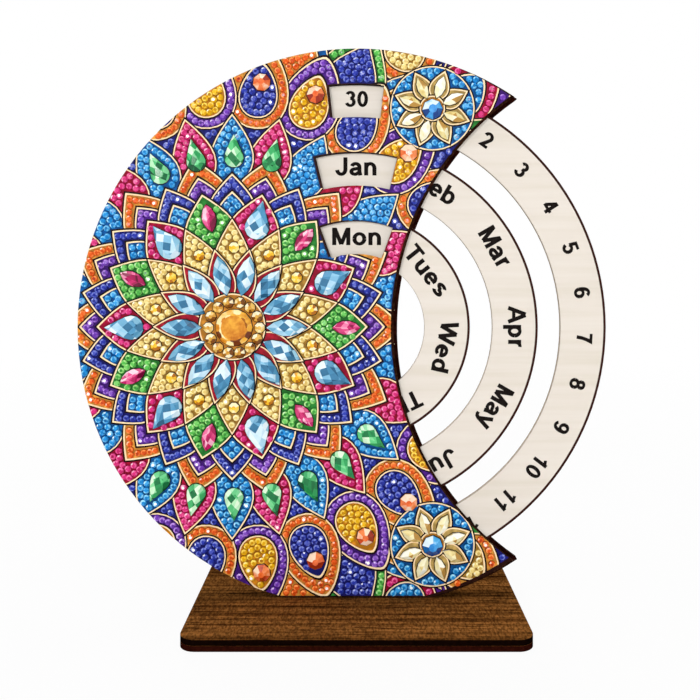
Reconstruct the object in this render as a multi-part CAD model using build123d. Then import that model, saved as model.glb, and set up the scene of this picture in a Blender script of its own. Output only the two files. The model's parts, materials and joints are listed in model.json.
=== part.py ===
from build123d import *
import math
import os

# Perpetual calendar: three flat rings turn in the layers of an upright crescent panel.
# Millimetres. The base stands on Z = 0, the panel faces -Y and the rings turn about a Y axis.

# Base: two boards with rounded corners, held together by strips of tape
base_width = 126.0
base_depth = 78.5
base_corner = 6.0
base_board = 2.0
base_tape_thickness = 0.2
base_tape_width = 12.0
base_tape_length = 40.0

# Panel layers, from the back towards the front
back_board = 2.0
ring_board = 2.0
front_board = 2.0
film_thickness = 0.3

# Tape: straight strips laid along the middle of each spacer, on both of its faces
tape_thickness = 0.2
tape_width = 4.0
tape_length = 12.0
rim_strips = 14
outer_arc_strips = 12
inner_arc_strips = 9
hub_strips = 4

# Rings, from the weekday ring outwards, and the rim of the panel round them
weekday_inner_radius = 27.0
ring_width = 18.0
ring_spacing = 9.0
ring_clearance = 0.3
rim_width = 11.0

# Outline of the crescent: a flat foot and a hollow edge that opens to the right
foot_width = 55.0
hollow_edge = 13.5
hollow_radius = 111.5

# Steps of the layers: each board shows beyond the layer in front of it, to the right and below
front_step_right = 1.1
front_step_down = 0.35
back_step_right = 1.5
back_step_down = 0.45

# Tab of the panel in the slot of the base
tab_width = 40.0
tab_relief = 0.2
slot_clearance = 0.2

# Windows above the axis, one over each ring
window_inner_margin = 2.0
window_outer_margin = 3.0
weekday_window_angle = 40.0
month_window_angle = 27.0
date_window_angle = 13.0

# Cut stones: a girdle, steep main facets, flatter star facets and a table
stone_height = 2.6
stone_girdle = 0.7
main_slope = 42.0
star_slope = 24.0
star_rise = 0.9
stone_gap = 0.6

# Stones of the seven-petal rosette, from its centre outwards
petal_count = 7
centre_diameter = 14.5
cabochon_diameter = 4.2
cabochon_height = 1.8
navette_length = 16.0
navette_width = 6.6
stud_diameter = 4.3
stud_height = 1.8
pear_length = 15.4
pear_width = 9.5
pear_inset = 2.0
pink_length = 11.0
pink_width = 5.4
pink_inset = 5.0

# Stones of the field round the rosette and of the two small rosettes in the horns
field_count = 28
leaf_length = 13.0
leaf_width = 7.5
leaf_step = 12.0
field_diameter = 7.0
field_step = 17.6
horn_diameter = 8.0
horn_count = 8
horn_navette_length = 9.0
horn_navette_width = 4.0
horn_rim_inset = 19.0
horn_hollow_inset = 16.7

# Sizes that follow from those above
base_height = 2 * base_board + base_tape_thickness
month_inner_radius = weekday_inner_radius + ring_width + ring_spacing
date_inner_radius = month_inner_radius + ring_width + ring_spacing
panel_radius = date_inner_radius + ring_width + rim_width
foot_drop = math.sqrt(panel_radius**2 - (foot_width / 2)**2)
axis_height = base_height + foot_drop
hollow_offset = hollow_edge + hollow_radius
front_step = (front_step_right, front_step_down)
back_step = (front_step_right + back_step_right, front_step_down + back_step_down)
film_drop = foot_drop - front_step_down - back_step_down
tab_length = base_height - tab_relief
panel_thickness = back_board + tape_thickness + ring_board + tape_thickness + front_board

# Back face of each layer: the panel stands in the middle of the base
back_board_y = panel_thickness / 2
back_tape_y = back_board_y - back_board
ring_y = back_tape_y - tape_thickness
front_tape_y = ring_y - ring_board
front_board_y = front_tape_y - tape_thickness
film_y = front_board_y - front_board
stone_y = film_y - film_thickness


def panel_plane(y):
    """Drawing plane of a panel layer: X to the right, Y up from the ring axis, facing the front."""
    return Plane(origin=(0, y, axis_height), x_dir=(1, 0, 0), z_dir=(0, -1, 0))


def layer(outline, y, thickness):
    """Solids of a panel layer, raised from its back face towards the front."""
    return extrude(panel_plane(y) * outline, amount=thickness).solids()


def write(name, solids):
    """One STEP file for the node, with its separate solids."""
    export_step(Compound(label=name, children=list(solids)), f"parts/{name}.step")


# Flat outlines of the base
def base_outline():
    board = RectangleRounded(base_width, base_depth, base_corner)
    slot = Rectangle(tab_width + 2 * slot_clearance, panel_thickness + 2 * slot_clearance)
    return board - slot


def base_tape_outline():
    """Four strips, one in the middle of each quarter of the board."""
    strips = Sketch()
    for quarter in GridLocations(base_width / 2, base_depth / 2, 2, 2):
        strips += quarter * Rectangle(base_tape_length, base_tape_width)
    return strips


# Flat outlines of the panel, drawn about the ring axis
def hollow(right, down):
    return Pos(hollow_offset + right, -down) * Circle(hollow_radius)


def below(drop):
    """All of the panel that lies below a level under the axis."""
    return Pos(0, -drop - panel_radius) * Rectangle(4 * panel_radius, 2 * panel_radius)


def board_crescent(right, down):
    """Crescent of a board that shows beyond the film's edge to the right and below."""
    rim = Circle(panel_radius) + Pos(right, -down) * Circle(panel_radius)
    return rim - below(foot_drop) - hollow(right, down)


def tab():
    return Pos(0, -foot_drop) * Rectangle(tab_width, 2 * tab_length)


def band(inner_radius, outer_radius):
    return Circle(outer_radius) - Circle(inner_radius)


def ring_outline(inner_radius):
    return band(inner_radius, inner_radius + ring_width)


def spacer_between(inner_ring_radius, outer_ring_radius):
    """Arc between two rings, with running clearance to both."""
    arc_inner = inner_ring_radius + ring_width + ring_clearance
    return band(arc_inner, outer_ring_radius - ring_clearance) - hollow(*back_step)


def window(ring_inner_radius, angle):
    """Annular sector straight above the axis, with radial sides."""
    inner = ring_inner_radius + window_inner_margin
    outer = ring_inner_radius + ring_width - window_outer_margin
    half = math.radians(angle / 2)
    far = 2 * outer
    left = (-far * math.sin(half), far * math.cos(half))
    right = (far * math.sin(half), far * math.cos(half))
    wedge = make_face(Polyline((0, 0), right, left, close=True))
    return band(inner, outer) & wedge


def windowed(outline):
    outline -= window(weekday_inner_radius, weekday_window_angle)
    outline -= window(month_inner_radius, month_window_angle)
    outline -= window(date_inner_radius, date_window_angle)
    return outline


def tape_strips(outline, radius, count):
    """Strips round the ring axis, where they lie wholly on the outline."""
    strips = []
    for step in range(count):
        turn = 360 * (step + 0.5) / count
        strip = Rot(0, 0, turn) * Pos(radius, 0) * Rectangle(tape_width, tape_length)
        spots = [shape.center() for shape in strip.vertices() + strip.edges()]
        if all(outline.face().is_inside(spot) for spot in spots):
            strips.append(strip)
    return strips


film_outline = windowed(Circle(panel_radius) - below(film_drop) - hollow(0, 0))
date_outer_radius = date_inner_radius + ring_width
date_bore = Circle(date_outer_radius + ring_clearance)
rim_outline = board_crescent(*back_step) + tab() - date_bore
hub_outline = Circle(weekday_inner_radius - ring_clearance) - hollow(*back_step)

# Spacers: outline, radius of the tape on it and number of strips in a full turn
spacers = {
    "rim_spacer": (rim_outline, date_outer_radius + rim_width / 2, rim_strips),
    "outer_arc_spacer": (spacer_between(month_inner_radius, date_inner_radius),
                         date_inner_radius - ring_spacing / 2, outer_arc_strips),
    "inner_arc_spacer": (spacer_between(weekday_inner_radius, month_inner_radius),
                         month_inner_radius - ring_spacing / 2, inner_arc_strips),
    "hub_spacer": (hub_outline, weekday_inner_radius / 2, hub_strips),
}
rings = {
    "weekday_ring": weekday_inner_radius,
    "month_ring": month_inner_radius,
    "date_ring": date_inner_radius,
}


# Flat outlines of the stones, each pointing along +Y about its middle
def round_stone(diameter, sides):
    turns = [2 * math.pi * (step + 0.5) / sides for step in range(sides)]
    return [(diameter / 2 * math.cos(turn), diameter / 2 * math.sin(turn)) for turn in turns]


def navette_stone(length, width, sides):
    """Two equal arcs that meet in a point at each end, each of the given number of sides."""
    radius = (length**2 + width**2) / (4 * width)
    sweep = math.asin(length / (2 * radius))
    turns = [sweep * (2 * step / sides - 1) for step in range(sides)]
    right = [(radius * math.cos(turn) + width / 2 - radius, radius * math.sin(turn)) for turn in turns]
    return right + [(-x, -y) for x, y in right]


def pear_stone(length, width, sides):
    """A round end and two straight flanks that meet in a point."""
    radius = width / 2
    middle = length / 2 - radius
    flank = math.acos(radius / (length - radius))
    turns = [flank + (2 * math.pi - 2 * flank) * step / sides for step in range(sides + 1)]
    round_end = [(radius * math.sin(turn), radius * math.cos(turn) - middle) for turn in turns]
    return [(0, length / 2)] + round_end


def cut_stone(outline, height, facets):
    """Grind flat facets all round an upright blank: tiers of count, first turn, slope and edge height."""
    stone = extrude(make_face(Polyline(*outline, close=True)), amount=height)
    for count, start, slope, edge in facets:
        for step in range(count):
            turn = math.radians(start + 360 * step / count)
            side = Vector(math.cos(turn), math.sin(turn), 0)
            reach = max(side.dot(Vector(x, y, 0)) for x, y in outline)
            tilt = math.radians(slope)
            facet_normal = side * math.sin(tilt) + Vector(0, 0, math.cos(tilt))
            facet = Plane(origin=side * reach + Vector(0, 0, edge), z_dir=facet_normal)
            stone = split(stone, bisect_by=facet, keep=Keep.BOTTOM)
    return stone


def brilliant(outline, facet_count):
    """Stone with main facets up from the girdle and star facets between them."""
    half_step = 180 / facet_count
    main_tier = (facet_count, 90, main_slope, stone_girdle)
    star_tier = (facet_count, 90 + half_step, star_slope, stone_girdle + star_rise)
    return cut_stone(outline, stone_height, [main_tier, star_tier])


def bead(diameter, height, sides):
    """Small round stone with one row of facets and a table."""
    outline = round_stone(diameter, sides)
    return cut_stone(outline, height, [(sides, 90, main_slope, stone_girdle)])


def fits(x, y, radius):
    """True where a round patch lies on the film, clear of its edges and windows."""
    spot = Vertex(x, y, 0)
    edge_gap = min(spot.distance_to(edge) for edge in film_outline.edges())
    return film_outline.face().is_inside((x, y, 0)) and edge_gap >= radius + stone_gap


def ring_of(stone, length, centre, count, radius, start):
    """Copies of a stone round a centre, pointing outwards, where they fit on the film."""
    copies = []
    for step in range(count):
        turn = start + 360 * step / count
        x = centre[0] + radius * math.cos(math.radians(turn))
        y = centre[1] + radius * math.sin(math.radians(turn))
        if fits(x, y, length / 2):
            place = panel_plane(stone_y) * Pos(x, y) * Rot(0, 0, turn - 90)
            copies.append(place * stone)
    return copies


# Rows of stones: each radius follows from the row inside it
rosette_centre = ((hollow_edge - panel_radius) / 2, 0)
row_count = 2 * petal_count
petal_start = 180.0
row_half_step = 180 / row_count
petal_half_step = 180 / petal_count
field_half_step = 180 / field_count

cabochon_pitch_radius = (cabochon_diameter + stone_gap / 2) / (2 * math.sin(math.pi / row_count))
cabochon_seat_radius = centre_diameter / 2 + stone_gap + cabochon_diameter / 2
cabochon_radius = max(cabochon_pitch_radius, cabochon_seat_radius)
navette_radius = cabochon_radius + cabochon_diameter / 2 + stone_gap + navette_length / 2
stud_radius = navette_radius + navette_length / 2 + stone_gap + stud_diameter / 2
petal_radius = stud_radius + stud_diameter / 2
pear_radius = petal_radius + pear_inset + pear_length / 2
pink_radius = petal_radius + pink_inset + pink_length / 2
leaf_radius = pear_radius + pear_length / 2 + leaf_step + leaf_length / 2
field_radius = leaf_radius + leaf_length / 2 + field_step + field_diameter / 2
horn_row_radius = horn_diameter / 2 + stone_gap + horn_navette_length / 2

# The small rosettes stand at set distances from the rim and from the hollow edge
horn_radius = panel_radius - horn_rim_inset
horn_reach = hollow_radius + horn_hollow_inset
horn_cosine = (horn_radius**2 + hollow_offset**2 - horn_reach**2) / (2 * horn_radius * hollow_offset)
horn_angle = math.degrees(math.acos(horn_cosine))

centre_blank = brilliant(round_stone(centre_diameter, 14), 14)
cabochon_blank = bead(cabochon_diameter, cabochon_height, 8)
navette_blank = brilliant(navette_stone(navette_length, navette_width, 5), 6)
stud_blank = bead(stud_diameter, stud_height, 8)
pear_blank = brilliant(pear_stone(pear_length, pear_width, 9), 8)
pink_blank = brilliant(navette_stone(pink_length, pink_width, 5), 6)
leaf_blank = brilliant(pear_stone(leaf_length, leaf_width, 9), 8)
field_blank = brilliant(round_stone(field_diameter, 8), 8)
horn_blank = brilliant(round_stone(horn_diameter, 8), 8)
horn_navette_blank = brilliant(navette_stone(horn_navette_length, horn_navette_width, 4), 6)

horn_stones = []
horn_navettes = []
for side_angle in (horn_angle, -horn_angle):
    turn = math.radians(side_angle)
    horn_centre = (horn_radius * math.cos(turn), horn_radius * math.sin(turn))
    horn_stones += ring_of(horn_blank, horn_diameter, horn_centre, 1, 0, side_angle)
    horn_navettes += ring_of(horn_navette_blank, horn_navette_length, horn_centre,
                             horn_count, horn_row_radius, side_angle)

stones = {
    "centre_stone": ring_of(centre_blank, centre_diameter, rosette_centre, 1, 0, petal_start),
    "gold_cabochons": ring_of(cabochon_blank, cabochon_diameter, rosette_centre,
                              row_count, cabochon_radius, petal_start),
    "crystal_navettes": ring_of(navette_blank, navette_length, rosette_centre,
                                row_count, navette_radius, petal_start),
    "yellow_studs": ring_of(stud_blank, stud_diameter, rosette_centre,
                            row_count, stud_radius, petal_start + row_half_step),
    "crystal_pears": ring_of(pear_blank, pear_length, rosette_centre,
                             petal_count, pear_radius, petal_start),
    "pink_navettes": ring_of(pink_blank, pink_length, rosette_centre,
                             petal_count, pink_radius, petal_start + petal_half_step),
    "leaf_pears": ring_of(leaf_blank, leaf_length, rosette_centre,
                          field_count, leaf_radius, petal_start),
    "field_rounds": ring_of(field_blank, field_diameter, rosette_centre,
                            field_count, field_radius, petal_start + field_half_step),
    "horn_stones": horn_stones,
    "horn_navettes": horn_navettes,
}

# Solids, one file for each node
os.makedirs("parts", exist_ok=True)

write("base_lower_board", extrude(base_outline(), amount=base_board).solids())
base_tape = extrude(Pos(0, 0, base_board) * base_tape_outline(), amount=base_tape_thickness)
write("base_tape", base_tape.solids())
upper_board = extrude(Pos(0, 0, base_height - base_board) * base_outline(), amount=base_board)
write("base_upper_board", upper_board.solids())

write("back_panel", layer(board_crescent(*back_step) + tab(), back_board_y, back_board))
back_tape = []
front_tape = []
for name, (outline, tape_radius, strip_count) in spacers.items():
    write(name, layer(outline, ring_y, ring_board))
    for strip in tape_strips(outline, tape_radius, strip_count):
        back_tape += layer(strip, back_tape_y, tape_thickness)
        front_tape += layer(strip, front_tape_y, tape_thickness)
write("back_tape", back_tape)
write("front_tape", front_tape)

front_outline = windowed(board_crescent(*front_step)) + tab()
write("front_panel", layer(front_outline, front_board_y, front_board))
write("art_film", layer(film_outline, film_y, film_thickness))

for name, inner_radius in rings.items():
    write(name, layer(ring_outline(inner_radius), ring_y, ring_board))

for name, solids in stones.items():
    write(name, solids)
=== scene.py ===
import json
import math
import random
from collections import namedtuple

import bmesh
import bpy
import numpy as np
from mathutils import Matrix, Vector
from mathutils.bvhtree import BVHTree
from mathutils.geometry import convex_hull_2d, delaunay_2d_cdt
from mathutils.kdtree import KDTree


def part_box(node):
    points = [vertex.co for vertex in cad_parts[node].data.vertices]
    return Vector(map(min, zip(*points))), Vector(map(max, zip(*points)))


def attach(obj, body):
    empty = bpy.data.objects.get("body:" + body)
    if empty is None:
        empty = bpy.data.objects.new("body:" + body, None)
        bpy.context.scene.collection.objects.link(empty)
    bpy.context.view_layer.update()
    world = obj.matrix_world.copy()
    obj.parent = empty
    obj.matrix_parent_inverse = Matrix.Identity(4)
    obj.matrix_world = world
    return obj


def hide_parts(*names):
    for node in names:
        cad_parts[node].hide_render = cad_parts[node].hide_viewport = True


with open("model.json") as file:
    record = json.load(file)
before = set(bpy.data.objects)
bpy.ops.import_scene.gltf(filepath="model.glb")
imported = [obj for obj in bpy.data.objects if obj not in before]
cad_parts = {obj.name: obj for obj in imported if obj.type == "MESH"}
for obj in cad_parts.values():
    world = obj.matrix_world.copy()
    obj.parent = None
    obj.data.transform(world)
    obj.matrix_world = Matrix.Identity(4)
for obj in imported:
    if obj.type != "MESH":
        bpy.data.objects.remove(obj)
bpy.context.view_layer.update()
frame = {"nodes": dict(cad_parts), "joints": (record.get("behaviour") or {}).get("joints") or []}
nodes = frame["nodes"]
MM = 0.001
AXIS = Vector(frame["joints"][0]["pos_m"])


# Colours

def srgb(code):
    """Linear colour of a six-digit sRGB code."""
    parts = [int(code[k:k + 2], 16) / 255 for k in (0, 2, 4)]
    return tuple(p / 12.92 if p <= 0.04045 else ((p + 0.055) / 1.055) ** 2.4 for p in parts)


def toned(rgb, factor):
    return tuple(min(1.0, c * factor) for c in rgb)


def grey(level):
    return (level, level, level)


BLACK = grey(0.0)
WHITE = grey(1.0)
LINE_COLOUR = srgb("FFE2B2")
SHADOW_COLOUR = srgb("180406")
DRILL_TONES = {
    "royal": (srgb("15125A"), srgb("2B3AA8"), srgb("8592DE")),
    "sky": (srgb("06386F"), srgb("2290DA"), srgb("92DCF8")),
    "green": (srgb("1A6424"), srgb("58BA50"), srgb("B0EC90")),
    "purple": (srgb("371466"), srgb("713CB2"), srgb("C092E8")),
    "magenta": (srgb("8C0838"), srgb("D42C78"), srgb("F87AB2")),
    "orange": (srgb("8E1E08"), srgb("E2591A"), srgb("FFA052")),
    "yellow": (srgb("8A4A08"), srgb("EAB20E"), srgb("FFE66E")),
    "cream": (srgb("AE8228"), srgb("ECD280"), srgb("FFF6BC")),
}
PRINT_COLOURS = {
    "royal": srgb("1C1E78"),
    "sky": srgb("0C5CA6"),
    "green": srgb("2C8434"),
    "purple": srgb("4C1E86"),
    "magenta": srgb("AA0C34"),
    "orange": srgb("EBA040"),
    "yellow": srgb("D88A1C"),
    "cream": srgb("B88A38"),
    "disc": srgb("D08A30"),
    "crimson": srgb("B01C30"),
    "petal": srgb("C9A860"),
    "line": LINE_COLOUR,
    "shadow": SHADOW_COLOUR,
    "painted_stone_shadow": SHADOW_COLOUR,
    "border": srgb("2C0D08"),
}


# Shader nodes

def feed(tree, socket, value):
    """Input of a node, linked to another socket or set to a value or a colour."""
    if isinstance(value, bpy.types.NodeSocket):
        tree.links.new(value, socket)
    elif socket.type == "RGBA":
        socket.default_value = (*value, 1.0)
    else:
        socket.default_value = value


def add(tree, kind, inputs=None, **settings):
    """New shader node; inputs are values, colours or sockets to link."""
    node = tree.nodes.new("ShaderNode" + kind)
    for key, value in settings.items():
        setattr(node, key, value)
    for key, value in (inputs or {}).items():
        feed(tree, node.inputs[key], value)
    return node


def material(name, **sockets):
    """Material with one Principled shader, whose even values are set on its own sockets."""
    made = bpy.data.materials.new(name)
    made.use_nodes = True
    shader = made.node_tree.nodes["Principled BSDF"]
    for key, value in sockets.items():
        shader.inputs[key.replace("_", " ")].default_value = value
    return made, made.node_tree, shader


def paint(tree, shader, colour):
    tree.links.new(colour, shader.inputs["Base Color"])


def ramp(tree, factor, stops, *colours):
    """Colour that runs through the given colours as a factor passes the stops."""
    node = add(tree, "ValToRGB", {"Fac": factor})
    elements = node.color_ramp.elements
    while len(elements) < len(stops):
        elements.new(1.0)
    for element, position, rgb in zip(elements, stops, colours):
        element.position = position
        element.color = (*rgb, 1.0)
    return node.outputs["Color"]


def math_node(tree, operation, first, second=0.0):
    return add(tree, "Math", {0: first, 1: second}, operation=operation).outputs[0]


def vector_node(tree, operation, first, second=BLACK):
    return add(tree, "VectorMath", {0: first, 1: second}, operation=operation).outputs


def object_place(tree):
    """Place in the object's own coordinates, which are metres."""
    return add(tree, "TexCoord").outputs["Object"]


def noise(tree, pattern):
    """Value of a noise pattern at the place in the object."""
    spread = add(tree, "Mapping", {"Vector": object_place(tree), "Scale": pattern.cells}).outputs["Vector"]
    return add(tree, "TexNoise", {"Vector": spread, "Scale": 1.0, "Detail": pattern.detail}).outputs["Fac"]


def blend(tree, share, first, second, kind="MIX"):
    """Two colours blended by a share of the second."""
    node = add(tree, "Mix", data_type="RGBA", blend_type=kind)
    shown = [socket for socket in node.inputs if socket.enabled]
    for socket, value in zip(shown, (share, first, second)):
        feed(tree, socket, value)
    return next(socket for socket in node.outputs if socket.enabled)


def bumped(tree, shader, height, strength, distance):
    bump = add(tree, "Bump", {"Height": height, "Strength": strength, "Distance": distance})
    tree.links.new(bump.outputs["Normal"], shader.inputs["Normal"])


def normal_part(tree, axis):
    """Share of the surface normal along an object axis, without its sign."""
    facing = add(tree, "TexCoord").outputs["Normal"]
    part = add(tree, "SeparateXYZ", {"Vector": facing}).outputs[axis]
    return math_node(tree, "ABSOLUTE", part)


def dress(name, made):
    nodes[name].data.materials.clear()
    nodes[name].data.materials.append(made)


# Boards and other fine-grained surfaces

# A noise pattern: its cells per metre along X, Y and Z, its levels of detail, and the stops of its colours
Noise = namedtuple("Noise", "cells detail stops")
GRAIN = Noise((6.0, 460.0, 460.0), 8.0, (0.33, 0.63))
FIGURE = Noise((2.0, 110.0, 110.0), 3.0, (0.38, 0.64))
PORES = Noise((60.0, 900.0, 900.0), 3.0, (0.5, 0.7))
FLECKS = Noise((1500.0, 600.0, 600.0), 2.0, (0.4, 0.6))
SOOT = Noise(grey(900.0), 4.0, (0.3, 0.7))
RING_GRAIN = Noise((14.0, 300.0, 300.0), 6.0, (0.3, 0.5, 0.75))
RING_FIBRE = Noise((40.0, 900.0, 900.0), 2.0, ())
PAINT_SPECKS = Noise(grey(900.0), 3.0, (0.3, 0.7))
INK_SPECKS = Noise(grey(1500.0), 3.0, (0.3, 0.7))
TAPE_SPECKS = Noise(grey(2500.0), 3.0, (0.3, 0.7))

# Shares and depths of the patterns on bare wood, and the strength and distance of its bump
FIGURE_SHARE = 0.35
FIGURE_DEPTH = 0.8
PORE_SHARE = 0.8
PORE_DEPTH = 0.45
FLECK_DEPTH = 0.42
SOOT_DARK = 0.55
SOOT_LIGHT = 1.3
WOOD_BUMP = (0.25, 0.0002)
FACE_STOPS = (0.6, 0.75)

# Printed rings: colours, widths of the scorched lines in millimetres, and bump
RING_FACE = (srgb("D5CDC0"), srgb("DBD3C9"), srgb("DFD8CF"))
RING_FIBRE_COLOUR = srgb("CDBFAE")
RING_FIBRE_SHARE = 0.22
RING_BUMP = (0.12, 0.0001)
RING_WALL = (srgb("2B1710"), srgb("5A3826"))
BORE_WALL = (srgb("8C7A66"), srgb("B5A48E"))
WALL_STOPS = (0.4, 0.6)
SCORCH_COLOUR = srgb("2C0A03")
INNER_SCORCH = 0.25
INNER_SCORCH_WIDTH = 0.25
OUTER_SCORCH_WIDTH = 0.92
OUTER_SCORCH_REACH = 1.05

# Beads in the print of the film
BEADS_PER_METRE = 400.0
BEAD_STOPS = (0.15, 0.55)
BEAD_DEPTH = 0.55


def board_paint(tree, shader, axis, face, cut):
    """Colours of a board: one for the faces that look along an axis, and one for its cut edges."""
    is_face = ramp(tree, normal_part(tree, axis), FACE_STOPS, BLACK, WHITE)
    paint(tree, shader, blend(tree, is_face, cut, face))


def wood(name, dark, light, edge, axis):
    """Board with grain along X on the faces that look along an axis, and scorched cut edges."""
    made, tree, shader = material(name, Roughness=0.6, Specular_IOR_Level=0.0)
    grain = noise(tree, GRAIN)
    pores = noise(tree, PORES)
    face = ramp(tree, grain, GRAIN.stops, dark, light)
    figure = ramp(tree, noise(tree, FIGURE), FIGURE.stops, toned(dark, FIGURE_DEPTH), light)
    face = blend(tree, FIGURE_SHARE, face, figure)
    pore_share = ramp(tree, pores, PORES.stops, BLACK, grey(PORE_SHARE))
    face = blend(tree, pore_share, face, toned(dark, PORE_DEPTH))
    flecks = ramp(tree, noise(tree, FLECKS), FLECKS.stops, grey(FLECK_DEPTH), WHITE)
    face = blend(tree, 1.0, face, flecks, "MULTIPLY")
    cut = ramp(tree, noise(tree, SOOT), SOOT.stops, toned(edge, SOOT_DARK), toned(edge, SOOT_LIGHT))
    board_paint(tree, shader, axis, face, cut)
    bumped(tree, shader, math_node(tree, "SUBTRACT", grain, pores), *WOOD_BUMP)
    return made


def ring_material(name, inner, outer):
    """Cream printed board with faint grain and scorched lines along both edges; radii in millimetres."""
    made, tree, shader = material(name, Roughness=0.6, Specular_IOR_Level=0.08)
    fibre = noise(tree, RING_FIBRE)
    face = ramp(tree, noise(tree, RING_GRAIN), RING_GRAIN.stops, *RING_FACE)
    face = blend(tree, math_node(tree, "MULTIPLY", fibre, RING_FIBRE_SHARE), face, RING_FIBRE_COLOUR)
    away = vector_node(tree, "SUBTRACT", object_place(tree), AXIS)[0]
    away = vector_node(tree, "MULTIPLY", away, (1.0, 0.0, 1.0))[0]
    reach = vector_node(tree, "LENGTH", away)["Value"]
    width = outer - inner
    share = math_node(tree, "DIVIDE", math_node(tree, "SUBTRACT", reach, inner * MM), width * MM)
    scorch_stops = (0.0, INNER_SCORCH_WIDTH / width, 1.0 - OUTER_SCORCH_REACH / width,
                    1.0 - OUTER_SCORCH_WIDTH / width)
    scorch = ramp(tree, share, scorch_stops, grey(INNER_SCORCH), BLACK, BLACK, WHITE)
    face = blend(tree, scorch, face, SCORCH_COLOUR)
    soot = noise(tree, SOOT)
    is_outside = ramp(tree, share, WALL_STOPS, BLACK, WHITE)
    bore_wall = ramp(tree, soot, SOOT.stops, *BORE_WALL)
    ring_wall = ramp(tree, soot, SOOT.stops, *RING_WALL)
    cut = blend(tree, is_outside, bore_wall, ring_wall)
    board_paint(tree, shader, "Y", face, cut)
    bumped(tree, shader, fibre, *RING_BUMP)
    return made


def film_material():
    """Printed film, coloured face by face with beads in the print."""
    made, tree, shader = material("printed_film", Roughness=0.45, Specular_IOR_Level=0.05)
    print_colour = add(tree, "Attribute", attribute_name="print").outputs["Color"]
    beads = add(tree, "TexVoronoi", {"Vector": object_place(tree), "Scale": BEADS_PER_METRE})
    mottle = ramp(tree, beads.outputs["Distance"], BEAD_STOPS, WHITE, grey(BEAD_DEPTH))
    paint(tree, shader, blend(tree, 1.0, print_colour, mottle, "MULTIPLY"))
    return made


def speckled(name, dark, light, specks, gloss):
    """Fine two-tone surface: ink, outline paint, tape."""
    made, tree, shader = material(name, Roughness=1.0 - gloss, Specular_IOR_Level=gloss)
    paint(tree, shader, ramp(tree, noise(tree, specks), specks.stops, dark, light))
    return made


# Flat meshes: places are in millimetres about the ring axis, x to the right and z up

SAME_PLACE = 1e-6
CIRCLE_SIDES = 96
PETAL_STEPS = 15
INSIDE_TRIANGLES = 1
MAP_TOLERANCE = 1e-5


def mesh_object(name, points, faces, made, body):
    """Object from points in metres, riding on a body."""
    mesh = bpy.data.meshes.new(name)
    mesh.from_pydata(points, [], faces)
    mesh.materials.append(made)
    piece = bpy.data.objects.new(name, mesh)
    bpy.context.scene.collection.objects.link(piece)
    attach(piece, body)
    return piece


def placed(x, y, z):
    """A point in millimetres about the axis, with y in metres, as a point of the frame."""
    return (AXIS.x + x * MM, y, AXIS.z + z * MM)


def flat_place(point):
    return Vector(((point.x - AXIS.x) / MM, (point.z - AXIS.z) / MM))


def merged(name):
    """Copy of a node's mesh with the vertices of its facets joined."""
    joined = bmesh.new()
    joined.from_mesh(nodes[name].data)
    bmesh.ops.remove_doubles(joined, verts=joined.verts, dist=SAME_PLACE)
    return joined


def stone_outlines(name):
    """Flat outline of each stone of a node."""
    joined = merged(name)
    left = dict.fromkeys(joined.verts)  # keeps its order, so that the stones come alike in each run
    outlines = []
    while left:
        island = [left.popitem()[0]]
        for vert in island:
            for edge in vert.link_edges:
                other = edge.other_vert(vert)
                if other in left:
                    del left[other]
                    island.append(other)
        places = [flat_place(vert.co) for vert in island]
        outlines.append([places[k] for k in convex_hull_2d(places)])
    joined.free()
    return outlines


def front_loops(name):
    """Outlines of a node's front face, the longest first."""
    joined = merged(name)
    front = min(vert.co.y for vert in joined.verts)

    def in_front(face):
        return all(abs(vert.co.y - front) < SAME_PLACE for vert in face.verts)

    onward = {}
    for face in filter(in_front, joined.faces):
        for loop in face.loops:
            beside = [other for other in loop.edge.link_faces if other != face]
            if not in_front(beside[0]):
                onward[loop.vert] = loop.link_loop_next.vert
    loops = []
    while onward:
        start, vert = onward.popitem()
        loop = [flat_place(start.co)]
        while vert in onward:
            loop.append(flat_place(vert.co))
            vert = onward.pop(vert)
        loops.append(loop)
    joined.free()
    return sorted(loops, key=len, reverse=True)


def middle(points):
    return sum(points, Vector((0.0, 0.0))) / len(points)


def polar(centre, radius, angle):
    return centre + radius * Vector((math.cos(angle), math.sin(angle)))


def circle(centre, radius, sides=CIRCLE_SIDES):
    return [polar(centre, radius, math.tau * k / sides) for k in range(sides)]


def petal(centre, angle, start, tip, half_width, lean, point):
    """Petal along a ray; lean moves its widest place, point sets how sharp its ends are."""
    along = polar(Vector((0.0, 0.0)), 1.0, angle)
    across = Vector((-along.y, along.x))
    shares = [(1 - math.cos(math.pi * k / PETAL_STEPS)) / 2 for k in range(PETAL_STEPS + 1)]
    spine = [centre + along * (start + (tip - start) * t) for t in shares]
    widths = [half_width * max(0.0, math.sin(math.pi * t ** lean)) ** point for t in shares]
    left = [p + across * w for p, w in zip(spine, widths)]
    right = [p - across * w for p, w in zip(spine, widths)]
    return right + left[-2:0:-1]


def grown(outline, margin):
    """Convex outline with each corner moved out from the middle."""
    centre = middle(outline)
    return [p + (p - centre).normalized() * margin for p in outline]


def planar_map(outlines):
    """Points and triangles of the area under some outlines, and which outlines lie over each triangle."""
    corners, loops = [], []
    for outline in outlines:
        loops.append(list(range(len(corners), len(corners) + len(outline))))
        corners.extend(outline)
    result = delaunay_2d_cdt(corners, [], loops, INSIDE_TRIANGLES, MAP_TOLERANCE, True)
    points, _, triangles, _, _, sources = result
    return points, triangles, sources


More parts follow.
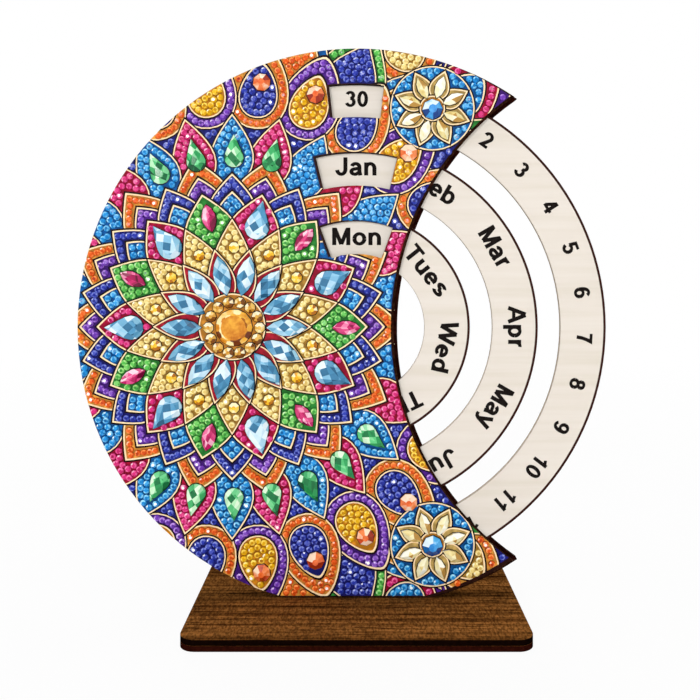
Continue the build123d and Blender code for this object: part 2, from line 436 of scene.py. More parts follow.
def slab(name, flat_points, faces, back, front, made, body):
    """Closed sheet over flat triangles between two depths in metres, and how many faces its edge has."""
    used = sorted({k for face in faces for k in face})
    place = {k: i for i, k in enumerate(used)}
    count = len(used)
    points = [placed(flat_points[k].x, front, flat_points[k].y) for k in used]
    points += [placed(flat_points[k].x, back, flat_points[k].y) for k in used]
    fronts = [[place[k] for k in face] for face in faces]
    backs = [[k + count for k in reversed(face)] for face in fronts]
    edges = {(face[i - 1], face[i]) for face in fronts for i in range(len(face))}
    walls = [[b, a, a + count, b + count] for a, b in edges if (b, a) not in edges]
    return mesh_object(name, points, fronts + backs + walls, made, body), len(walls)


# The art: shapes from the back to the front, each with the name of its print colour; sizes in millimetres

LINE_WIDTH = 0.48
LINE_RELIEF = 0.18
SHADOW_WIDTH = 0.55
STONE_SHADOW_MARGIN = 0.35
TIP_PULL = 1.8
LEAF = (0.75, 0.95)
ARCH = (0.72, 0.62)
ONION = (0.66, 1.25)
CENTRE_DISC_MARGIN = 3.0
HORN_DISC_RADIUS = 16.6
HORN_EYE_RADIUS = 5.0

# A row of petals: their number, their turn in steps, where they start and end on their ray, half their width,
# their form, and the bands of one petal after another; a band is its distance inside the edge and its colour
Row = namedtuple("Row", "count turn start tip half_width form bands")

film_low, film_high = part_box("art_film")
film_outline, *window_loops = front_loops("art_film")
film_windows = [loop[::-1] for loop in window_loops]
film_radius = max(p.length for p in film_outline)
stones = {name: stone_outlines(name) for name in (
    "centre_stone", "gold_cabochons", "crystal_navettes", "yellow_studs", "crystal_pears", "pink_navettes",
    "leaf_pears", "field_rounds", "horn_stones", "horn_navettes")}
rosette = middle(stones["centre_stone"][0])
row_radius = {name: sum((middle(outline) - rosette).length for outline in group) / len(group)
              for name, group in stones.items()}
shapes = []


def lay(outline, colour):
    shapes.append((outline, colour))


def lined(outline_at, bands):
    """Nested bands from the outside in, each with a dark rim that is a painted shadow, and a raised line;
    outline_at gives the outline at a distance inside the shape's edge."""
    for inset, colour in bands:
        # painted shadow: a dark ring round the raised line
        lay(outline_at(inset - SHADOW_WIDTH), "shadow")
        lay(outline_at(inset), "line")
        lay(outline_at(inset + LINE_WIDTH), colour)


def lay_row(row, centre, first=math.pi):
    """Ring of petals; those nearest to the first direction lie on top, alike on both sides."""
    half_round = row.count / 2

    def steps_away(k):
        return abs((k + row.turn + half_round) % row.count - half_round)

    for k in sorted(range(row.count), key=steps_away, reverse=True):
        angle = first + (k + row.turn) * math.tau / row.count

        def outline_at(inset):
            tip = row.tip - TIP_PULL * inset
            return petal(centre, angle, row.start + inset, tip, row.half_width - inset, *row.form)

        if min(p.length for p in outline_at(0.0)) < film_radius:
            lined(outline_at, row.bands[k % len(row.bands)])


def lay_disc(centre, radius, colour):
    lined(lambda inset: circle(centre, radius - inset), ((0, colour),))


PETALS = len(stones["crystal_navettes"])
FIELD = 2 * PETALS
HORN_PETALS = len(stones["horn_navettes"]) // len(stones["horn_stones"])
pear_ring = row_radius["crystal_pears"]
leaf_ring = row_radius["leaf_pears"]
round_ring = row_radius["field_rounds"]
stud_ring = row_radius["yellow_studs"]
FIELD_ROWS = (
    Row(FIELD, 0.5, round_ring + 14, round_ring + 58, 17.0, ARCH,
        (((0, "royal"), (4.4, "orange"), (8.8, "cream")), ((0, "purple"), (4.4, "magenta"), (8.8, "sky")))),
    Row(FIELD, 0.0, round_ring - 2, round_ring + 35, 14.0, ONION,
        (((0, "sky"), (4.0, "orange")), ((0, "green"), (4.0, "royal")))),
    Row(FIELD, 0.5, round_ring - 19, round_ring + 15, 12.0, ARCH,
        (((0, "orange"), (4.3, "royal")), ((0, "purple"), (4.3, "yellow")))),
    Row(FIELD, 0.0, leaf_ring - 12, leaf_ring + 17, 8.6, LEAF, (((0, "magenta"),), ((0, "sky"),))),
    Row(PETALS, 0.0, pear_ring, pear_ring + 27, 11.0, LEAF, (((0, "orange"), (4.0, "purple")),)),
    Row(PETALS, 0.5, pear_ring - 4, pear_ring + 20, 9.5, LEAF, (((0, "royal"), (3.9, "sky")),)),
    Row(PETALS, 0.0, pear_ring - 13, pear_ring + 13, 10.4, LEAF, (((0, "magenta"),), ((0, "green"),))),
    Row(PETALS, 0.5, 12.0, stud_ring + 11, 7.6, LEAF, (((0, "cream"),),)),
    Row(PETALS, 0.0, 9.0, stud_ring - 0.4, 5.4, LEAF, (((0, "crimson"),),)),
)
HORN_ROW = Row(HORN_PETALS, 0.0, 3.2, 15.6, 3.9, LEAF, (((0, "petal"),),))

lay(film_outline, "royal")
for row in FIELD_ROWS:
    lay_row(row, rosette)
lay_disc(rosette, row_radius["gold_cabochons"] + CENTRE_DISC_MARGIN, "disc")
for outline in stones["horn_stones"]:
    centre = middle(outline)
    lay_disc(centre, HORN_DISC_RADIUS, "sky")
    lay_row(HORN_ROW, centre, math.atan2(centre.y, centre.x))
    lay_disc(centre, HORN_EYE_RADIUS, "disc")
# painted shadow: a dark outline round each stone, printed under it
for group in stones.values():
    for outline in group:
        lay(grown(outline, STONE_SHADOW_MARGIN), "painted_stone_shadow")


# Map of the art: every triangle takes the colour of the topmost shape over it, or of the dark border along
# the rim, the hollow and the windows; sizes in millimetres

RIM_SHADE = Vector((-1.5, 0.5))
RIM_SIDES = 240
WINDOW_SHADE = Vector((-1.2, 0.35))
HOLLOW_SHADE = 0.15
HOLLOW_SIDES = 360
HOLLOW_MOUTH = 6.0
BORDER = -1

rim = circle(RIM_SHADE, film_radius, RIM_SIDES)
hollow_mouth = max((p for p in film_outline if abs(p.y) < HOLLOW_MOUTH), key=lambda p: p.x)
hollow_tip = max(film_outline, key=lambda p: p.x)
hollow_x = (hollow_tip.length_squared - hollow_mouth.x ** 2) / (2 * (hollow_tip.x - hollow_mouth.x))
hollow = circle(Vector((hollow_x, 0.0)), hollow_x - hollow_mouth.x + HOLLOW_SHADE, HOLLOW_SIDES)
window_shades = [[p + WINDOW_SHADE for p in loop] for loop in film_windows]
map_outlines = [outline for outline, colour in shapes] + [rim, hollow, *window_shades, *film_windows]
RIM = len(shapes)
HOLLOW = RIM + 1
FIRST_SHADE = HOLLOW + 1
FIRST_WINDOW = FIRST_SHADE + len(window_shades)
SHADES = set(range(FIRST_SHADE, FIRST_WINDOW))
WINDOWS = set(range(FIRST_WINDOW, len(map_outlines)))
map_points, map_triangles, map_sources = planar_map(map_outlines)
art_faces, art_cells = [], []
for triangle, sources in zip(map_triangles, map_sources):
    over = set(sources)
    if 0 not in over or over & WINDOWS:
        continue
    in_border = RIM not in over or HOLLOW in over or over & SHADES
    art_faces.append(triangle)
    art_cells.append(BORDER if in_border else max(k for k in over if k < RIM))


def cell_colour(cell):
    return "border" if cell == BORDER else shapes[cell][1]


film_front = film_low.y
film, wall_count = slab("art_print", map_points, art_faces, film_high.y, film_front, film_material(),
                        "stand")
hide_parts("art_film")
face_colours = [PRINT_COLOURS[cell_colour(cell)] for cell in art_cells]
face_colours += [PRINT_COLOURS["border"]] * (len(art_faces) + wall_count)
print_layer = film.data.attributes.new("print", "FLOAT_COLOR", "FACE")
print_layer.data.foreach_set("color", np.array([(*rgb, 1.0) for rgb in face_colours], np.float32).ravel())

LINE_DEPTH = 0.85
LINE_GLOSS = 0.4
line_paint = speckled("outline_paint", toned(LINE_COLOUR, LINE_DEPTH), LINE_COLOUR, PAINT_SPECKS, LINE_GLOSS)
line_faces = [face for face, cell in zip(art_faces, art_cells) if cell_colour(cell) == "line"]
line_front = film_front - LINE_RELIEF * MM
slab("art_lines", map_points, line_faces, film_front, line_front, line_paint, "stand")


# Drills, spread evenly over each cell of the art; sizes in millimetres, and levels in shares of the radius
# and of the height

DRILL_RADIUS = 1.4
DRILL_HEIGHT = 1.2
DRILL_SIDES = 8
DRILL_LEVELS = ((0.94, -0.05), (1.0, 0.3), (0.86, 0.66), (0.44, 0.97))
DRILL_TILT = 0.05
DRILL_PITCH = 2.42
DRILL_CLEARANCE = 1.0
DRILL_MARGIN = 0.35
DRILL_ROOM = 0.8
GRID_STEP = 0.3
SPREAD_ROUNDS = 8

# Tones of a drill's faces, from dark to white, which are painted light and shade: how far they follow a
# painted light from its bright side, and painted glints
PAINTED_LIGHT_SIDE = math.radians(-40)
Facets = namedtuple("Facets", "middle by_light change")
# painted shade: the rim facets are darker than the crown facets
RIM_FACETS = Facets(0.32, 0.26, (-0.08, 0.08))
CROWN_FACETS = Facets(0.56, -0.12, (-0.2, 0.25))
# painted shade: most tables are darker than the crown
TABLE_TONES = (0.1, 0.55)
PAINTED_GLINT_TONE = 0.95
PAINTED_GLINT_SHARE = 0.05
TONE_STOPS = (0.05, 0.5, 0.85, 1.0)
DRILL_CHANGE = 0.06
SEED = 7


def drill_material(name, dark, mid, bright):
    """Small faceted drill: tones by facet, which are painted light and shade up to painted white glints, and
    a slight change of depth from drill to drill.
    """
    made, tree, shader = material(name, Roughness=0.15, Specular_IOR_Level=0.12)
    tone = add(tree, "Attribute", attribute_name="tone").outputs["Fac"]
    change = add(tree, "NewGeometry").outputs["Random Per Island"]
    tone = math_node(tree, "ADD", tone, math_node(tree, "MULTIPLY", change, DRILL_CHANGE))
    paint(tree, shader, ramp(tree, tone, TONE_STOPS, dark, mid, bright, WHITE))
    return made


def boundary_points():
    """Points along the edges between different cells, and along the film's edge."""
    sides = {}
    for face, cell in zip(art_faces, art_cells):
        for i in range(len(face)):
            sides.setdefault(frozenset((face[i - 1], face[i])), []).append(cell)
    found = []
    for edge, cells in sides.items():
        if len(cells) == 1 or cells[0] != cells[1]:
            a, b = (map_points[k] for k in edge)
            count = max(1, math.ceil((b - a).length / GRID_STEP))
            found += [a.lerp(b, k / count) for k in range(count + 1)]
    return found


def grid_cells():
    """Grid points over the art as arrays of place, cell and distance to the nearest cell edge."""
    tree = BVHTree.FromPolygons([(p.x, p.y, 0.0) for p in map_points], art_faces)
    edges = boundary_points()
    near = KDTree(len(edges))
    for k, p in enumerate(edges):
        near.insert((p.x, p.y, 0.0), k)
    near.balance()
    low = Vector((min(p.x for p in film_outline), min(p.y for p in film_outline)))
    high = Vector((max(p.x for p in film_outline), max(p.y for p in film_outline)))
    places, cells, depths = [], [], []
    for x in np.arange(low.x, high.x, GRID_STEP):
        for y in np.arange(low.y, high.y, GRID_STEP):
            face = tree.ray_cast((x, y, 1.0), (0.0, 0.0, -1.0))[2]
            if face is None or cell_colour(art_cells[face]) not in DRILL_TONES:
                continue
            depth = near.find((x, y, 0.0))[2]
            if depth > DRILL_MARGIN:
                places.append((x, y))
                cells.append(art_cells[face])
                depths.append(depth)
    return np.array(places), np.array(cells), np.array(depths)


def chain(places, depths):
    """Rough drill places of one cell: along its edge, then further in, at the drills' pitch."""
    free = depths > DRILL_CLEARANCE
    reach = DRILL_CLEARANCE
    last = places[0]
    chosen = []
    while free.any():
        ready = np.flatnonzero(free & (depths <= reach))
        if len(ready):
            last = places[ready[np.hypot(*(places[ready] - last).T).argmin()]]
            chosen.append(last)
            free &= np.hypot(*(places - last).T) >= DRILL_PITCH
        else:
            reach += GRID_STEP
    return chosen


def spread(places, depths):
    """Drill places that share out one cell evenly; those with too little room are left out."""
    chosen = chain(places, depths)
    for _ in range(SPREAD_ROUNDS if chosen else 0):
        owner = np.hypot(*np.moveaxis(places[:, None] - np.array(chosen), 2, 0)).argmin(1)
        chosen = [places[owner == k].mean(0) for k in np.unique(owner)]
    kept = []
    for place in chosen:
        gaps = np.hypot(*(places - place).T)
        if gaps.min() < GRID_STEP and depths[gaps.argmin()] > DRILL_ROOM:
            kept.append(place)
    return kept


def pulled_in(place):
    """Drill place moved in from the rim, where needed, so that the whole drill lies on the film."""
    limit = film_radius - DRILL_RADIUS
    return place * min(1.0, limit / math.hypot(*place))


def drill_points(x, z, turn):
    """Corners of one drill, level by level, with a small tilt above its foot."""
    nod = Matrix.Rotation(dice.gauss(0.0, DRILL_TILT), 3, "X")
    roll = Matrix.Rotation(dice.gauss(0.0, DRILL_TILT), 3, "Z")
    points = []
    for width, rise in DRILL_LEVELS:
        for k in range(DRILL_SIDES):
            side = polar(Vector((0.0, 0.0)), width * DRILL_RADIUS, turn + math.tau * k / DRILL_SIDES)
            corner = Vector((side.x, -rise * DRILL_HEIGHT, side.y))
            corner = nod @ roll @ corner if rise > 0 else corner
            points.append(placed(x + corner.x, film_front + corner.y * MM, z + corner.z))
    return points


def drill_faces(first):
    """Faces of one drill whose corners start at an index: table, foot, then the sides level by level."""
    levels = [[first + DRILL_SIDES * n + k for k in range(DRILL_SIDES)] for n in range(len(DRILL_LEVELS))]
    faces = [levels[-1], levels[0][::-1]]
    for low, high in zip(levels, levels[1:]):
        faces += [[low[k - 1], low[k], high[k], high[k - 1]] for k in range(DRILL_SIDES)]
    return faces


def drill_tones(turn):
    """Tone of each face of one drill, in the order of its faces: painted shade and light on the facets by
    their side towards the painted light, a painted glint on some tables, and the foot is dark.
    """
    painted_glint = dice.random() < PAINTED_GLINT_SHARE
    # painted highlight: some tables are a painted white glint
    table = PAINTED_GLINT_TONE if painted_glint else dice.uniform(*TABLE_TONES)
    lights = [math.cos(turn + math.tau * (k - 0.5) / DRILL_SIDES - PAINTED_LIGHT_SIDE) for k in range(DRILL_SIDES)]
    tones = [table, 0.0] + [0.0] * DRILL_SIDES
    for facets in (RIM_FACETS, CROWN_FACETS):
        # painted light and shade: each facet is lighter or darker by its side towards the painted bright side
        tones += [facets.middle + facets.by_light * light + dice.uniform(*facets.change) for light in lights]
    return tones


dice = random.Random(SEED)
grid_places, grid_cell, grid_depth = grid_cells()
drills = {colour: [] for colour in DRILL_TONES}
for cell in np.unique(grid_cell):
    inside = grid_cell == cell
    drills[cell_colour(cell)] += spread(grid_places[inside], grid_depth[inside])
for colour, places in drills.items():
    points, faces, tones = [], [], []
    for x, z in map(pulled_in, places):
        turn = dice.uniform(0.0, math.tau)
        faces += drill_faces(len(points))
        points += drill_points(x, z, turn)
        tones += drill_tones(turn)
    made = drill_material(colour + "_drill", *DRILL_TONES[colour])
    piece = mesh_object(colour + "_drills", points, faces, made, "stand")
    piece.data.attributes.new("tone", "FLOAT", "FACE").data.foreach_set("value", tones)


# Stones: painted reflections, a tone by facet from dark to bright

FACETS_SCALE = 4.6
CLOUD = Noise(grey(420.0), 2.0, ())
GEM_CLOUD = 0.12
GEM_RANGE = (0.49, 0.64)
TABLE_STOPS = (0.97, 0.985)
TABLE_PAINTED_SHADE = 0.03
CRYSTAL_CLOUD = 0.1
CRYSTAL_RANGE = (0.12, 0.92)
CRYSTAL_FACET_LEVEL = 0.42
CRYSTAL_FACET_GAIN = 1.6
RHOMB_GAIN = 0.75
# Painted reflections: the tones of each stone from dark to bright, the last a painted highlight
STONE_REFLECTION_TONES = {
    "centre_stone": ("6B2C05", "C77412", "F2B33A", "FFE9A8"),
    "gold_cabochons": ("7A4308", "C98A22", "F0C662", "FFF3CC"),
    "crystal_navettes": ("235678", "4A8FB8", "8CC3DF", "E2F2F9"),
    "yellow_studs": ("B36A04", "EDB012", "FFD84A", "FFF6C4"),
    "crystal_pears": ("235678", "4A8FB8", "8CC3DF", "E2F2F9"),
    "pink_navettes": ("6E0833", "C41C64", "EC5A95", "FFD3E2"),
    "leaf_pears": ("0A5230", "2A9A55", "63CE84", "DDF8D8"),
    "field_rounds": ("9C2A0A", "DE561C", "F78A4A", "FFDCBC"),
    "horn_stones": ("0B3C86", "1E80D0", "55B6F0", "E0F4FF"),
    "horn_navettes": ("B98B3E", "E8D48A", "F6EDBE", "FFFCEC"),
}

# Stones cut in rhombs: how many there would be in a full ring, and the rhomb's diagonals in millimetres
Rhombs = namedtuple("Rhombs", "count length width")
RHOMBS = {
    "crystal_navettes": Rhombs(PETALS, 4.6, 3.8),
    "crystal_pears": Rhombs(PETALS // 2, 4.4, 4.0),
    "pink_navettes": Rhombs(PETALS // 2, 4.0, 2.8),
    "leaf_pears": Rhombs(FIELD, 4.0, 3.4),
}


def facet_tone(tree):
    """Tone of a facet, picked by the direction that it faces, as a painted reflection."""
    facing = add(tree, "NewGeometry").outputs["True Normal"]
    return add(tree, "TexNoise", {"Vector": facing, "Scale": FACETS_SCALE, "Detail": 1.0}).outputs["Fac"]


def clouded(tree, tone, share):
    return math_node(tree, "ADD", tone, math_node(tree, "MULTIPLY", noise(tree, CLOUD), share))


def gem(name, *tones):
    """Cut resin with painted reflections: each facet has a tone of its own, and the table is painted darker
    as painted shade.
    """
    made, tree, shader = material(name, Roughness=0.1, Specular_IOR_Level=0.35)
    # painted shade: the table, which faces the front, is darker
    table = ramp(tree, normal_part(tree, "Y"), TABLE_STOPS, BLACK, grey(TABLE_PAINTED_SHADE))
    tone = math_node(tree, "SUBTRACT", clouded(tree, facet_tone(tree), GEM_CLOUD), table)
    paint(tree, shader, ramp(tree, tone, np.linspace(*GEM_RANGE, len(tones)), *tones))
    return made


def rhomb_tone(tree, rhombs, ring):
    """Painted reflection of a rhombic facet, on stones set at even steps on a ring round the rosette's
    middle; the facet in a stone's middle is painted the darkest. The ring's radius is in millimetres."""

    def work(operation, first, second=0.0):
        return math_node(tree, operation, first, second)

    away = vector_node(tree, "SUBTRACT", object_place(tree), placed(rosette.x, 0.0, rosette.y))[0]
    parts = add(tree, "SeparateXYZ", {"Vector": away}).outputs
    squares = [work("MULTIPLY", parts[axis], parts[axis]) for axis in ("X", "Z")]
    reach = work("POWER", work("ADD", *squares), 0.5)
    angle = work("ARCTAN2", work("MULTIPLY", parts["Z"], -1.0), work("MULTIPLY", parts["X"], -1.0))
    steps = work("MULTIPLY", angle, rhombs.count / math.tau)
    stone = work("ROUND", steps)
    aside = work("MULTIPLY", work("SUBTRACT", steps, stone), math.tau / rhombs.count)
    across = work("DIVIDE", work("MULTIPLY", aside, reach), rhombs.width * MM)
    along = work("DIVIDE", work("SUBTRACT", reach, ring * MM), rhombs.length * MM)
    first = work("ROUND", work("ADD", along, across))
    second = work("ROUND", work("SUBTRACT", along, across))
    key = add(tree, "CombineXYZ", {"X": first, "Y": second, "Z": stone}).outputs[0]
    tone = add(tree, "TexWhiteNoise", {"Vector": key}).outputs["Value"]
    off_middle = work("ADD", work("ABSOLUTE", first), work("ABSOLUTE", second))
    return work("MULTIPLY", tone, work("MINIMUM", off_middle, 1.0))


def crystal(name, rhombs, ring, *tones):
    """Resin cut in rhombs, whose tones, painted reflections, add to those of the facets."""
    made, tree, shader = material(name, Roughness=0.1, Specular_IOR_Level=0.3)
    facet = math_node(tree, "SUBTRACT", facet_tone(tree), CRYSTAL_FACET_LEVEL)
    facet = math_node(tree, "MULTIPLY", facet, CRYSTAL_FACET_GAIN)
    tone = math_node(tree, "MULTIPLY", rhomb_tone(tree, rhombs, ring), RHOMB_GAIN)
    tone = clouded(tree, math_node(tree, "ADD", tone, facet), CRYSTAL_CLOUD)
    paint(tree, shader, ramp(tree, tone, np.linspace(*CRYSTAL_RANGE, len(tones)), *tones))
    return made


for name, codes in STONE_REFLECTION_TONES.items():
    tones = [srgb(code) for code in codes]
    if name in RHOMBS:
        dress(name, crystal(name + "_resin", RHOMBS[name], row_radius[name], *tones))
    else:
        dress(name, gem(name + "_resin", *tones))


# Boards, tape and base

WALNUT = (srgb("462408"), srgb("B4763A"))
TAPE_GLOSS = 0.4
walnut = wood("walnut_top", *WALNUT, srgb("0E0503"), "Z")
walnut_lower = wood("walnut_lower", *WALNUT, srgb("280B06"), "Z")
panel_wood = wood("panel_wood", srgb("6C472E"), srgb("AE8258"), srgb("24120C"), "Y")
front_wood = wood("front_wood", srgb("241009"), srgb("40261A"), srgb("1E0A06"), "Y")
scorched = wood("scorched_board", srgb("1C0705"), srgb("301009"), srgb("1A0805"), "Y")
tape = speckled("tape_fibre", srgb("A8946A"), srgb("D8C9A0"), TAPE_SPECKS, TAPE_GLOSS)
BOARDS = {
    "base_upper_board": walnut,
    "base_lower_board": walnut_lower,
    "back_panel": panel_wood,
    "front_panel": front_wood,
    "rim_spacer": scorched,
    "outer_arc_spacer": scorched,
    "inner_arc_spacer": scorched,
    "hub_spacer": scorched,
    "base_tape": tape,
    "back_tape": tape,
    "front_tape": tape,
}
for name, made in BOARDS.items():
    dress(name, made)


# Rings and their lettering; sizes in millimetres

INK_THICKNESS = 0.05
INK_GLOSS = 0.05
INK = speckled("black_ink", srgb("100C0B"), srgb("1E1917"), INK_SPECKS, INK_GLOSS)
WEEKDAYS = "Mon Tues Wed Thur Fri Sat Sun".split()
MONTHS = "Jan Feb Mar Apr May Jun Jul Aug Sep Oct Nov Dec".split()
DATES = ["30", "31"] + [str(day) for day in range(1, 30)]
Marks = namedtuple("Marks", "words cap_height raise_by stretch")
MARKS = {
    "weekday_ring": Marks(WEEKDAYS, 6.95, 0.0, 1.03),
    "month_ring": Marks(MONTHS, 7.2, 0.8, 0.97),
    "date_ring": Marks(DATES, 6.15, 0.6, 1.0),
}
ARC_STEPS = 12


def arc(x, z, half_width, half_height, start, end):
    turns = [math.radians(start + (end - start) * k / ARC_STEPS) for k in range(ARC_STEPS + 1)]
    return [(x + half_width * math.cos(turn), z + half_height * math.sin(turn)) for turn in turns]


def oval(x, z, half_width, half_height):
    return [arc(x, z, half_width, half_height, 0, 180), arc(x, z, half_width, half_height, 180, 360)]


# Plain letters, drawn with a broad pen: the width of each and the middle lines of its strokes, where a
# capital is 1 high; PEN is half the thickness of an upright and of a level stroke
PEN = Vector((0.116, 0.092))
STEM = [(0.19, 0), (0.19, 0.72)]
TALL_STEM = [(0.19, 0), (0.19, 1)]
ARCH_STROKE = arc(0.425, 0.39, 0.235, 0.26, 170, 0) + [(0.66, 0)]
LETTERS = {
    "0": (0.78, oval(0.39, 0.5, 0.235, 0.43)),
    "1": (0.78, [[(0.44, 0), (0.44, 1)], [(0.44, 0.88), (0.14, 0.7)]]),
    "2": (0.78, [arc(0.39, 0.69, 0.235, 0.24, 170, -30) + [(0.25, 0.072), (0.69, 0.072)]]),
    "3": (0.78, [arc(0.37, 0.735, 0.205, 0.195, 160, -90), arc(0.37, 0.305, 0.24, 0.235, 90, -165)]),
    "4": (0.78, [[(0.04, 0.285), (0.74, 0.285)], [(0.525, 0), (0.525, 1)], [(0.13, 0.31), (0.5, 0.96)]]),
    "5": (0.78, [[(0.66, 0.928), (0.24, 0.928), (0.185, 0.48)], arc(0.37, 0.325, 0.245, 0.255, 140, -165)]),
    "6": (0.78, oval(0.395, 0.32, 0.235, 0.25) + [arc(0.42, 0.5, 0.26, 0.43, 45, 180) + [(0.16, 0.32)]]),
    "7": (0.78, [[(0.06, 0.928), (0.57, 0.928), (0.45, 0.64), (0.36, 0.34), (0.31, 0)]]),
    "8": (0.78, oval(0.39, 0.74, 0.195, 0.19) + oval(0.39, 0.305, 0.24, 0.235)),
    "9": (0.78, oval(0.385, 0.68, 0.235, 0.25) + [arc(0.36, 0.5, 0.26, 0.43, 225, 360) + [(0.62, 0.68)]]),
    "A": (1.0, [[(0.1, 0), (0.48, 0.97)], [(0.9, 0), (0.52, 0.97)], [(0.25, 0.31), (0.75, 0.31)]]),
    "D": (1.0, [TALL_STEM, [(0.19, 0.072)] + arc(0.48, 0.5, 0.34, 0.428, -90, 90) + [(0.19, 0.928)]]),
    "F": (0.85, [TALL_STEM, [(0.19, 0.928), (0.79, 0.928)], [(0.19, 0.5), (0.71, 0.5)]]),
    "J": (0.78, [[(0.57, 1)] + arc(0.335, 0.33, 0.235, 0.26, 0, -175)]),
    "M": (1.16, [TALL_STEM, [(0.97, 0), (0.97, 1)],
                 [(0.22, 0.96), (0.58, 0.05)], [(0.94, 0.96), (0.58, 0.05)]]),
    "N": (1.0, [TALL_STEM, [(0.81, 0), (0.81, 1)], [(0.21, 0.95), (0.79, 0.05)]]),
    "O": (1.09, oval(0.545, 0.5, 0.395, 0.435)),
    "S": (0.93, [arc(0.46, 0.735, 0.27, 0.195, 15, 262) + arc(0.465, 0.28, 0.3, 0.21, 82, -168)]),
    "T": (0.85, [[(0.04, 0.928), (0.81, 0.928)], [(0.425, 0), (0.425, 0.95)]]),
    "W": (1.32, [[(0.1, 1), (0.37, 0.02)], [(0.36, 0), (0.67, 1)],
                 [(0.65, 1), (0.96, 0)], [(0.95, 0.02), (1.22, 1)]]),
    "a": (0.78, [arc(0.37, 0.47, 0.215, 0.18, 165, 0) + [(0.59, 0.2), (0.64, 0)],
                 [(0.59, 0.4), (0.42, 0.375)] + arc(0.335, 0.215, 0.205, 0.145, 92, 290) + [(0.59, 0.2)]]),
    "b": (0.85, oval(0.43, 0.36, 0.25, 0.29) + [TALL_STEM]),
    "c": (0.78, [arc(0.39, 0.36, 0.26, 0.29, 42, 318)]),
    "d": (0.85, oval(0.42, 0.36, 0.25, 0.29) + [[(0.66, 0), (0.66, 1)]]),
    "e": (0.78, [[(0.15, 0.37), (0.74, 0.37)], arc(0.39, 0.36, 0.26, 0.29, 0, 318)]),
    "g": (0.85, oval(0.42, 0.37, 0.25, 0.28) + [[(0.66, 0.72)] + arc(0.425, -0.03, 0.235, 0.18, 0, -160)]),
    "h": (0.85, [TALL_STEM, ARCH_STROKE]),
    "i": (0.39, [STEM, [(0.19, 0.85), (0.19, 1)]]),
    "l": (0.39, [TALL_STEM]),
    "n": (0.85, [STEM, ARCH_STROKE]),
    "o": (0.85, oval(0.425, 0.36, 0.275, 0.29)),
    "p": (0.85, oval(0.43, 0.36, 0.25, 0.29) + [[(0.19, 0.72), (0.19, -0.28)]]),
    "r": (0.54, [STEM, arc(0.43, 0.38, 0.24, 0.27, 170, 78)]),
    "s": (0.78, [arc(0.385, 0.535, 0.2, 0.115, 15, 262) + arc(0.39, 0.195, 0.225, 0.125, 82, -165)]),
    "t": (0.47, [[(0.24, 0.93)] + arc(0.37, 0.21, 0.13, 0.14, 180, 285), [(0.04, 0.648), (0.43, 0.648)]]),
    "u": (0.85, [[(0.19, 0.72)] + arc(0.425, 0.33, 0.235, 0.26, 180, 350), [(0.66, 0), (0.66, 0.72)]]),
    "v": (0.78, [[(0.1, 0.72), (0.385, 0.02)], [(0.68, 0.72), (0.395, 0.02)]]),
    "y": (0.78, [[(0.1, 0.72), (0.41, 0)],
                 [(0.68, 0.72), (0.41, -0.06), (0.33, -0.18), (0.24, -0.21), (0.12, -0.2)]]),
}


def ribbon(path):
    """Outline of a pen stroke along a path, with mitred bends and square ends."""
    points = [Vector(p) for p in path]
    runs = [(b - a).normalized() for a, b in zip(points, points[1:])]
    left, right = [], []
    for point, before, after in zip(points, runs[:1] + runs, runs + runs[-1:]):
        along = (before + after).normalized()
        across = Vector((-along.y * PEN.x, along.x * PEN.y)) / along.dot(after)
        left.append(point + across)
        right.append(point - across)
    return right + left[::-1]


def letter_shape(letter):
    """Points and triangles of the area that a letter's strokes cover together."""
    points, triangles, sources = planar_map([ribbon(stroke) for stroke in LETTERS[letter][1]])
    return points, [triangle for triangle, over in zip(triangles, sources) if over]


def word_shape(word, cap_height, stretch):
    """Flat points in millimetres and triangles of a word, about the middle of its capitals."""
    widths = [LETTERS[letter][0] for letter in word]
    points, faces = [], []
    for k, letter in enumerate(word):
        start = sum(widths[:k]) - sum(widths) / 2
        letter_points, letter_faces = letter_shape(letter)
        faces += [[i + len(points) for i in face] for face in letter_faces]
        points += [Vector(((start + p.x) * stretch, p.y - 0.5)) * cap_height for p in letter_points]
    return points, faces


for ring, marks in MARKS.items():
    reaches = [flat_place(vert.co).length for vert in nodes[ring].data.vertices]
    inner, outer = min(reaches), max(reaches)
    dress(ring, ring_material(ring + "_board", inner, outer))
    base_line = (inner + outer) / 2 + marks.raise_by
    points, faces = [], []
    for k, word in enumerate(marks.words):
        turn = math.tau * k / len(marks.words)
        outward = Vector((math.sin(turn), math.cos(turn)))
        onward = Vector((math.cos(turn), -math.sin(turn)))
        word_points, word_faces = word_shape(word, marks.cap_height, marks.stretch)
        faces += [[i + len(points) for i in face] for face in word_faces]
        points += [outward * (base_line + p.y) + onward * p.x for p in word_points]
    face_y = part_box(ring)[0].y
    slab(ring + "_marks", points, faces, face_y, face_y - INK_THICKNESS * MM, INK, ring)


# Floor and background

FLOOR_SIZE = 6.0
FLOOR_TINT = Noise(grey(3.0), 2.0, (0.3, 0.7))
FLOOR_COLOURS = (grey(0.9), grey(0.93))
FLOOR_GLOW_STOPS = (0.25, 0.9)
FLOOR_GLOW = (grey(0.93), WHITE)
WORLD_LIGHT = 0.12


def seen_white(tree):
    """1 for what the camera, a mirror image or a clear piece shows, and 0 for the light on the object."""
    path = add(tree, "LightPath").outputs
    seen = math_node(tree, "MAXIMUM", path["Is Camera Ray"], path["Is Glossy Ray"])
    return math_node(tree, "MAXIMUM", seen, path["Is Transmission Ray"])


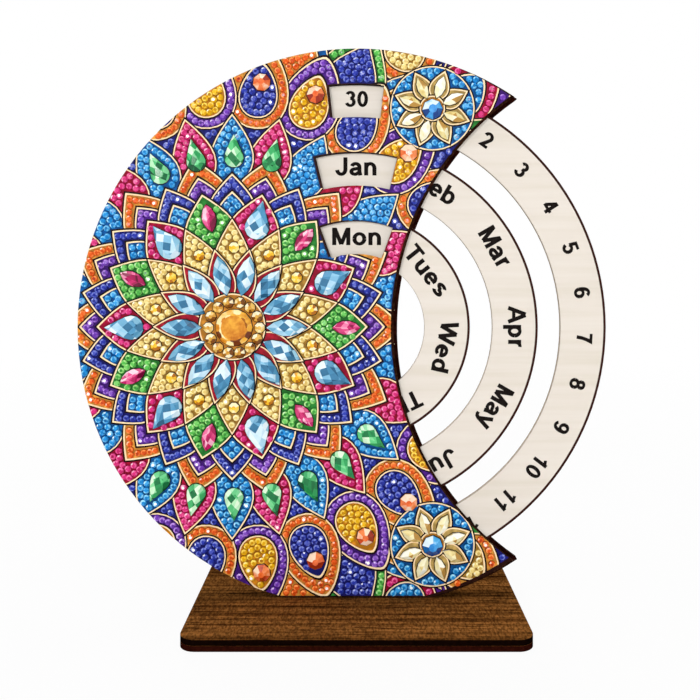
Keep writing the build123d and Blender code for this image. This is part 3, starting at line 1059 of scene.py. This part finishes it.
def floor_material():
    """Pale floor that is seen white, with a share of its lit surface kept near the object for the shadow."""
    made, tree, shader = material("pale_floor", Roughness=0.9)
    paint(tree, shader, ramp(tree, noise(tree, FLOOR_TINT), FLOOR_TINT.stops, *FLOOR_COLOURS))
    reach = vector_node(tree, "LENGTH", object_place(tree))["Value"]
    glow_share = ramp(tree, reach, FLOOR_GLOW_STOPS, *FLOOR_GLOW)
    glow = add(tree, "Emission", {"Color": WHITE, "Strength": 1.0}).outputs[0]
    share = math_node(tree, "MULTIPLY", seen_white(tree), glow_share)
    surface = add(tree, "MixShader", {0: share, 1: shader.outputs[0], 2: glow}).outputs[0]
    tree.links.new(surface, tree.nodes["Material Output"].inputs["Surface"])
    return made


floor_grid = bmesh.new()
bmesh.ops.create_grid(floor_grid, x_segments=2, y_segments=2, size=FLOOR_SIZE)
floor_mesh = bpy.data.meshes.new("floor")
floor_grid.to_mesh(floor_mesh)
floor_grid.free()
floor_mesh.materials.append(floor_material())
floor = bpy.data.objects.new("floor", floor_mesh)
bpy.context.scene.collection.objects.link(floor)

world = bpy.data.worlds.new("studio")
bpy.context.scene.world = world
world.use_nodes = True
world_tree = world.node_tree
background = world_tree.nodes["Background"].inputs
glow = math_node(world_tree, "MULTIPLY", seen_white(world_tree), 1.0 - WORLD_LIGHT)
feed(world_tree, background["Strength"], math_node(world_tree, "ADD", glow, WORLD_LIGHT))
feed(world_tree, background["Color"], WHITE)


# Lamps: the direction that the light comes from, its strength, and the width of its disc in degrees

LAMPS = {
    "key": ((-0.3, -1.0, 0.2), 1.15, 12.0),
    "front": ((0.1, -1.0, 0.05), 1.3, 10.0),
    "top": ((0.0, -0.05, 1.0), 1.65, 60.0),
    "back": ((-0.25, 1.0, 0.15), 1.9, 40.0),
}
for name, (source, strength, disc) in LAMPS.items():
    lamp = bpy.data.lights.new(name, "SUN")
    lamp.energy = strength
    lamp.angle = math.radians(disc)
    holder = bpy.data.objects.new(name, lamp)
    holder.location = source
    holder.rotation_euler = (-Vector(source)).to_track_quat("-Z", "Y").to_euler()
    bpy.context.scene.collection.objects.link(holder)


# Camera, level and square to the panel: millimetres above the ring axis and in front of the panel

CAMERA_RISE = 27.3
CAMERA_DISTANCE = 323.0
CAMERA_LENS = 42.1
CAMERA_SENSOR = 36.0
CAMERA_SHIFT = Vector((-0.0094, -0.131))
camera = bpy.data.cameras.new("camera")
camera.lens = CAMERA_LENS
camera.sensor_width = CAMERA_SENSOR
camera.shift_x = CAMERA_SHIFT.x
camera.shift_y = CAMERA_SHIFT.y
camera_holder = bpy.data.objects.new("camera", camera)
panel_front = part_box("front_panel")[0].y
camera_holder.location = (0.0, panel_front - CAMERA_DISTANCE * MM, AXIS.z + CAMERA_RISE * MM)
camera_holder.rotation_euler = (math.pi / 2, 0.0, 0.0)
bpy.context.scene.collection.objects.link(camera_holder)
bpy.context.scene.camera = camera_holder
bpy.context.scene.view_settings.view_transform = "Standard"
